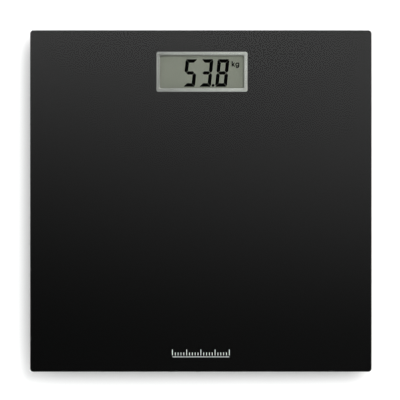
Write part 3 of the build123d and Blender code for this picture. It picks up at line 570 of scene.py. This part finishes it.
# ink on the back of the glass: it wets the glass, so its face is a hair inside it
inkSet = {
    "wetting": 0.00001,
    "bezelFlange": 0.0018,    # the bezel's flange, which the ink hides
    "cornerRadius": 0.0026,
    "windowRadius": 0.002,
    "segments": 6,
    "nearly": 0.0001,         # how close a corner is to a line that it lies on
}


def buildInk():
    low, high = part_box("back_print")
    bezelLow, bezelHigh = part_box("display_bezel")
    flange = inkSet["bezelFlange"]
    left, right = bezelLow[0] + flange, bezelHigh[0] - flange
    bottom, top = bezelLow[1] + flange, bezelHigh[1] - flange
    level = high[2] + inkSet["wetting"]
    ink = cutBar(low[0], high[0], low[1], high[1], level)
    cutFlat(ink, level, [(left, 0, 1, 0), (right, 0, 1, 0), (0, bottom, 0, 1), (0, top, 0, 1)], keep=True)
    dropFaces(ink, lambda middle: left < middle.x < right and bottom < middle.y < top)
    nearly = inkSet["nearly"]
    roundCorners(ink, inkSet["windowRadius"], inkSet["segments"], lambda at:
                 left - nearly < at.x < right + nearly and bottom - nearly < at.y < top + nearly)
    roundCorners(ink, inkSet["cornerRadius"], inkSet["segments"], lambda at:
                 abs(at.x) > high[0] - nearly and abs(at.y) > high[1] - nearly)
    thicken(ink, low[2] - level)
    nameAndPaint(ink, "back_ink_sheet", materials["back_ink"])
    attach(ink, "platform")
    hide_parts("back_print")


# silver graduation, printed on the glass first, so that the black ink covers its back
graduationSet = {
    "ticks": 20,
    "longEvery": 5,
    "tickWidth": 0.00055,
    "shortTick": 0.0026,
    "longTick": 0.0052,
    "lineThickness": 0.00045,
    "thickness": 0.00005,
}


def buildGraduation():
    low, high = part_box("printed_graduation")
    level = high[2] + inkSet["wetting"] * 2
    half = graduationSet["tickWidth"] / 2
    foot = high[1] - graduationSet["longTick"]
    left, right = low[0] + half, high[0] - half
    bars = [cutBar(left, right, low[1], low[1] + graduationSet["lineThickness"], level)]
    for index in range(graduationSet["ticks"] + 1):
        x = left + (right - left) * index / graduationSet["ticks"]
        isLong = index % graduationSet["longEvery"] == 0
        tick = graduationSet["longTick"] if isLong else graduationSet["shortTick"]
        bars.append(cutBar(x - half, x + half, foot, foot + tick, level))
    graduation = joinPieces(bars)
    thicken(graduation, -graduationSet["thickness"])
    nameAndPaint(graduation, "graduation", materials["silver_ink"])
    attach(graduation, "platform")
    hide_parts("printed_graduation")


buildInk()
buildGraduation()
print("ink and graduation laid under the glass")


# display: seven-bar digits, a point and the unit, on the front of the liquid crystal
digitSet = {
    "reading": "53.8",
    "left": -0.0156,          # lower left corner of the first digit
    "bottom": 0.1006,
    "height": 0.0242,
    "width": 0.0104,
    "stroke": 0.0031,
    "gap": 0.00011,           # between two bars
    "cornerCut": 0.0007,
    "pitch": 0.01405,
    "slant": 0.095,           # sideways per unit of height
    "pointRadius": 0.0012,
    "pointBack": 1.6,         # from the next digit's left side to the point's middle, in radii
    "pointSides": 32,
    "thickness": 0.00003,
}
# the bars' ends: lengths in strokes, gaps or corner cuts, steepness as the way a cut faces
barSet = {
    "middleInset": 0.52,
    "middleHalf": 0.46,
    "middleTip": 0.55,
    "middleSteep": 1.5,
    "uprightTip": 0.45,
    "uprightSteep": 1.1,
    "uprightGap": 1.6,
    "uprightShort": 0.35,
    "shoulderCut": 2.2,
    "shoulderSteep": 0.9,
}
litBars = {"3": "abcdg", "5": "acdfg", "8": "abcdefg"}


def digitBars(letters, x, y, level):
    high, wide, stroke = digitSet["height"], digitSet["width"], digitSet["stroke"]
    gap, corner = digitSet["gap"], digitSet["cornerCut"]
    middle = high / 2
    inset, half = stroke * barSet["middleInset"], stroke * barSet["middleHalf"]
    point, steep = stroke * barSet["middleTip"], barSet["middleSteep"]
    shapes = {
        "a": (corner, wide - corner, high - stroke, high,
              [(stroke + gap, high - stroke, -1, -1), (wide - stroke - gap, high - stroke, 1, -1)]),
        "d": (corner, wide - corner, 0, stroke,
              [(stroke + gap, stroke, -1, 1), (wide - stroke - gap, stroke, 1, 1)]),
        "g": (inset, wide - inset, middle - half, middle + half,
              [(point, middle, -steep, 1), (point, middle, -steep, -1),
               (wide - point, middle, steep, 1), (wide - point, middle, steep, -1)]),
    }
    uprights = (("f", True, True), ("b", False, True), ("e", True, False), ("c", False, False))
    for letter, onLeft, isUpper in uprights:
        side = 1 if onLeft else -1
        up = 1 if isUpper else -1
        outer = 0 if onLeft else wide
        inner = outer + side * stroke
        tip = outer + side * stroke * barSet["uprightTip"]
        end = high if isUpper else 0
        start = middle + up * gap * barSet["uprightGap"]
        finish = end - up * corner * barSet["uprightShort"]
        tipSteep = -up * barSet["uprightSteep"]
        shapes[letter] = (
            min(outer, inner), max(outer, inner), min(start, finish), max(start, finish),
            [(inner, end - up * (stroke + gap), side, up),
             (outer, end - up * corner * barSet["shoulderCut"], -side, up * barSet["shoulderSteep"]),
             (tip, start, -side, tipSteep), (tip, start, side, tipSteep)],
        )
    made = []
    for letter in letters:
        left, right, bottom, top, cuts = shapes[letter]
        made.append(cutBar(x + left, x + right, y + bottom, y + top, level,
                           [(x + cutX, y + cutY, outX, outY) for cutX, cutY, outX, outY in cuts]))
    return made


def buildReading():
    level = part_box("lcd_polariser")[1][2]
    x, y = digitSet["left"], digitSet["bottom"]
    radius = digitSet["pointRadius"]
    pieces = []
    for sign in digitSet["reading"]:
        if sign == ".":
            spot = (x - radius * digitSet["pointBack"], y + radius, level)
            deselectAll()
            bpy.ops.mesh.primitive_circle_add(
                vertices=digitSet["pointSides"], radius=radius, fill_type="NGON", location=spot)
            pieces.append(bpy.context.object)
            placeInMesh(pieces[-1])
            continue
        pieces += digitBars(litBars[sign], x, y, level)
        x += digitSet["pitch"]
    reading = joinPieces(pieces)
    # italic lean, about the foot of the digits
    lean = Matrix.Identity(4)
    lean[0][1] = digitSet["slant"]
    lean[0][3] = -digitSet["slant"] * y
    reading.data.transform(lean)
    thicken(reading, digitSet["thickness"])
    return reading


unitSet = {
    "kLeft": 0.0271,
    "kWidth": 0.0029,
    "gLeft": 0.0303,
    "baseline": 0.1184,
    "letterHeight": 0.0034,
    "stemHeight": 0.0047,
    "tailDepth": 0.0014,
    "stroke": 0.00094,
    "forkHeight": 0.36,       # where the arm of the k leaves its stem, in letter heights
    "forkAcross": 0.8,        # this and the next seven in strokes
    "armEnd": 0.5,
    "legAcross": 0.5,
    "legStart": 1.6,
    "legEnd": 0.45,
    "legTop": 0.9,
    "bowlExtra": 0.05,
    "stemFoot": 0.2,
    "tailEnd": 0.75,          # where the tail of the g stops, in radii of its ring
}


# a slanted stroke between two points, inside the box of its letter
def cutStroke(start, end, left, right, bottom, top, level):
    across = Vector((start[1] - end[1], end[0] - start[0])).normalized()
    edge = across * unitSet["stroke"] / 2
    sides = [(start[0] + edge.x, start[1] + edge.y, across.x, across.y),
             (start[0] - edge.x, start[1] - edge.y, -across.x, -across.y)]
    return cutBar(left, right, bottom, top, level, sides)


# k: a stem, an arm up from it and a leg down from the arm
def unitFirst(level):
    stroke, base, height = unitSet["stroke"], unitSet["baseline"], unitSet["letterHeight"]
    top = base + height
    left, right = unitSet["kLeft"], unitSet["kLeft"] + unitSet["kWidth"]
    inStem = left + stroke / 2
    forkX, forkY = left + stroke * unitSet["forkAcross"], base + height * unitSet["forkHeight"]
    armEnd = (right - stroke * unitSet["armEnd"], top)
    legStart = (forkX + stroke * unitSet["legAcross"], top - stroke * unitSet["legStart"])
    legEnd = (right - stroke * unitSet["legEnd"], base)
    legTop = forkY + stroke * unitSet["legTop"]
    return [
        cutBar(left, left + stroke, base, base + unitSet["stemHeight"], level),
        cutStroke((forkX, forkY), armEnd, inStem, right, base, top, level),
        cutStroke(legStart, legEnd, inStem, right, base, legTop, level),
    ]


# g: a ring, a stem on its right and the lower part of a second ring
def unitSecond(level):
    stroke, base, height = unitSet["stroke"], unitSet["baseline"], unitSet["letterHeight"]
    radius = height / 2 + stroke * unitSet["bowlExtra"]
    x, y = unitSet["gLeft"] + radius, base + height / 2
    tailY = base - unitSet["tailDepth"] + radius
    tailCuts = [(x, tailY, 0, 1), (x - radius * unitSet["tailEnd"], tailY, -1, 0)]
    return [
        cutRing(x, y, radius, stroke, level),
        cutBar(x + radius - stroke, x + radius, tailY - stroke * unitSet["stemFoot"], base + height, level),
        cutRing(x, tailY, radius, stroke, level, tailCuts),
    ]


def buildUnit():
    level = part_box("lcd_polariser")[1][2]
    pieces = unitFirst(level) + unitSecond(level)
    for piece in pieces:
        thicken(piece, digitSet["thickness"])
    unit = pieces[0]
    pick(unit)
    for piece in pieces[1:]:
        weld = unit.modifiers.new("weld", "BOOLEAN")
        weld.operation = "UNION"
        weld.object = piece
        bpy.ops.object.modifier_apply(modifier=weld.name)
        bpy.data.objects.remove(piece)
    return unit


# the dark state of the liquid crystal
def segmentRecipe(point):
    grain = point.noise(0.00012, 3)
    slow = point.noise(0.006, 2)
    return {
        "Base Color": (grain * 0.5 + slow * 0.5).colour(grey(0.0006), grey(0.0016)),
        "Roughness": 0.45 + grain * 0.2,
        "Normal": point.bump(grain, 0.000003, 0.5),
    }


materials["lcd_segment"] = makeFinish("lcd_segment", {"Specular IOR Level": 0.0}, segmentRecipe)
for name, sign in (("lcd_reading", buildReading()), ("lcd_unit", buildUnit())):
    nameAndPaint(sign, name, materials["lcd_segment"])
    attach(sign, "platform")
print("display drawn:", digitSet["reading"])


# underside: marks moulded on the battery door and a collar round the unit button
markSet = {
    "height": 0.00035,
    "edge": 0.0001,
    "edgeSegments": 2,
    "plusSize": 0.008,
    "plusStroke": 0.0017,
    "arrowWidth": 0.007,
    "arrowLength": 0.0036,
    "arrowGap": 0.0016,
    "collarRadius": 0.0064,
    "collarWidth": 0.0009,
}


# makes a flat mark stand out downwards, with soft edges
def raiseMark(mark):
    thicken(mark, -markSet["height"])
    bevel = mark.modifiers.new("edge", "BEVEL")
    bevel.width = markSet["edge"]
    bevel.segments = markSet["edgeSegments"]
    bevel.limit_method = "ANGLE"
    bpy.ops.object.modifier_apply(modifier=bevel.name)


# a plus, and an arrow towards the edge that opens
def buildDoorMarks():
    low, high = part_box("battery_door")
    x, y, level = (low[0] + high[0]) / 2, (low[1] + high[1]) / 2, low[2]
    arm, half = markSet["plusSize"] / 2, markSet["plusStroke"] / 2
    plus = cutBar(x - arm, x + arm, y - arm, y + arm, level)
    cutFlat(plus, level, [(x - half, y, 1, 0), (x, y - half, 0, 1), (x + half, y, 1, 0), (x, y + half, 0, 1)],
            keep=True)
    dropFaces(plus, lambda middle: abs(middle.x - x) > half and abs(middle.y - y) > half)
    wide, long = markSet["arrowWidth"] / 2, markSet["arrowLength"]
    tip = y - arm - markSet["arrowGap"] - long
    slope = wide / long
    arrow = cutBar(x - wide, x + wide, tip, tip + long, level, [(x, tip, 1, -slope), (x, tip, -1, -slope)])
    for mark in (plus, arrow):
        raiseMark(mark)
    return joinPieces([plus, arrow])


def buildCollar():
    low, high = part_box("unit_button")
    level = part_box("housing_cover")[0][2]
    x, y = (low[0] + high[0]) / 2, (low[1] + high[1]) / 2
    collar = cutRing(x, y, markSet["collarRadius"], markSet["collarWidth"], level)
    raiseMark(collar)
    return collar


marks = (
    ("door_marks", buildDoorMarks(), "battery_door", "button_grey"),
    ("button_collar", buildCollar(), "platform", "black_abs"),
)
for name, mark, body, slot in marks:
    nameAndPaint(mark, name, materials[slot])
    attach(mark, body)
print("underside marked")


# studio: pale floor, one soft lamp from the upper right, a soft sky, and a card over the glass
studioSet = {
    "floorSize": 8.0,
    "floorTone": 0.8,
    "floorMottle": 0.02,
    "lampPower": 23.0,
    "lampSize": 1.25,
    "lampPlace": (0.58, 0.74, 1.25),
    "skyLow": 1.35,
    "skyHigh": 1.1,
    "skyFrom": -0.05,         # how far up the sky's tone starts to change, and where it stops
    "skyTo": 0.9,
    "mirrorLow": 0.4,         # the studio's walls, as gloss sees them
    "mirrorHigh": 1.1,
    "cardHeight": 1.5,
    "cardSize": 2.4,
    "cardReach": 0.225,       # the part of the card that the platform mirrors in the catalogue view
    "flagDrop": 0.02,         # a black flag hangs under the card, where the display mirrors it
    "flagInset": 0.0034,
    "cardFloor": 0.06,        # the card's glow at its front edge
    "cardRise": 0.95,         # and what it gains towards its back edge
    "cardCurve": 2.05,
    "cardLean": 0.04,         # and towards the right, more so in the card's middle
    "cardBelly": 1.45,
    "cardPivot": 0.2,         # where across the card that gain is nothing
}


# paper backdrop
def floorRecipe(point):
    mottle = point.noise(0.25, 4)
    tooth = point.noise(0.002, 2)
    tone, change = studioSet["floorTone"], studioSet["floorMottle"]
    dark, light = grey(tone * (1 - change)), grey(tone * (1 + change))
    return {
        "Base Color": (mottle * 0.6 + tooth * 0.4).colour(dark, light),
        "Roughness": 0.8 + tooth * 0.1,
    }


deselectAll()
bpy.ops.mesh.primitive_plane_add(size=studioSet["floorSize"], location=(0, 0, 0))
floor = bpy.context.object
nameAndPaint(floor, "floor", makeFinish("floor_paper", {"Specular IOR Level": 0.1}, floorRecipe))

lampData = bpy.data.lights.new("key_lamp", "AREA")
lampData.energy = studioSet["lampPower"]
lampData.size = studioSet["lampSize"]
lamp = bpy.data.objects.new("key_lamp", lampData)
lamp.location = studioSet["lampPlace"]
lamp.visible_glossy = False
lamp.rotation_euler = (-Vector(studioSet["lampPlace"])).to_track_quat("-Z", "Y").to_euler()
bpy.context.scene.collection.objects.link(lamp)

world = bpy.data.worlds.new("studio_sky")
bpy.context.scene.world = world
world.use_nodes = True
sky = Wire(world.node_tree)
looking = sky.node("ShaderNodeTexCoord", {}, {}, 0)
upwards = looking.part("Z").between(studioSet["skyFrom"], studioSet["skyTo"])
skyLight = upwards.colour(grey(studioSet["skyLow"]), grey(studioSet["skyHigh"]))
mirrored = upwards.colour(grey(studioSet["mirrorLow"]), grey(studioSet["mirrorHigh"]))
shown = sky.node("ShaderNodeLightPath", {}, {}, "Is Glossy Ray").colour(skyLight, mirrored)
world.node_tree.links.new(shown.socket, world.node_tree.nodes["Background"].inputs["Color"])


# the camera doesn't see a card, and it neither lights nor shades anything dull
def hangCard(card):
    card.visible_camera = False
    card.visible_diffuse = False
    card.visible_shadow = False


def buildCard():
    deselectAll()
    bpy.ops.mesh.primitive_plane_add(size=studioSet["cardSize"], location=(0, 0, studioSet["cardHeight"]))
    card = bpy.context.object
    placeInMesh(card)
    material = bpy.data.materials.new("card_light")
    material.use_nodes = True
    tree = material.node_tree
    tree.nodes.remove(tree.nodes["Principled BSDF"])
    point = Wire(tree).node("ShaderNodeTexCoord", {}, {}, 3)
    reach = studioSet["cardReach"]
    back = point.part("Y").between(-reach, reach)
    side = point.part("X").between(-reach, reach)
    lean = studioSet["cardLean"] + back * back * (1 - back) * studioSet["cardBelly"]
    rise = back ** studioSet["cardCurve"] * studioSet["cardRise"]
    glow = studioSet["cardFloor"] + rise + (side - studioSet["cardPivot"]) * lean
    light = point.node("ShaderNodeEmission", {}, {"Strength": glow})
    tree.links.new(light.socket, tree.nodes["Material Output"].inputs["Surface"])
    material.cycles.emission_sampling = "NONE"
    nameAndPaint(card, "gradient_card", material)
    hangCard(card)


def flagRecipe(point):
    weave = point.noise(0.002, 3)
    return {"Base Color": weave.colour(grey(0.0), grey(0.002)), "Roughness": 0.9 + weave * 0.1}


# the flag covers what the display window mirrors in the catalogue view, to the middle of the bezel
def buildFlag():
    drop = studioSet["cardHeight"] - studioSet["flagDrop"]
    spread = 1 + (drop - glassTop) / cameraSet["height"]
    low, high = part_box("display_bezel")
    inset = studioSet["flagInset"]
    edges = []
    for axis, aim in enumerate((cameraSet["aimX"], cameraSet["aimY"])):
        for edge in (low[axis] + inset, high[axis] - inset):
            edges.append(aim + (edge - aim) * spread)
    flag = cutBar(*edges, drop)
    nameAndPaint(flag, "black_flag", makeFinish("flag_cloth", {"Specular IOR Level": 0.0}, flagRecipe))
    hangCard(flag)


buildCard()
buildFlag()
print("studio ready")
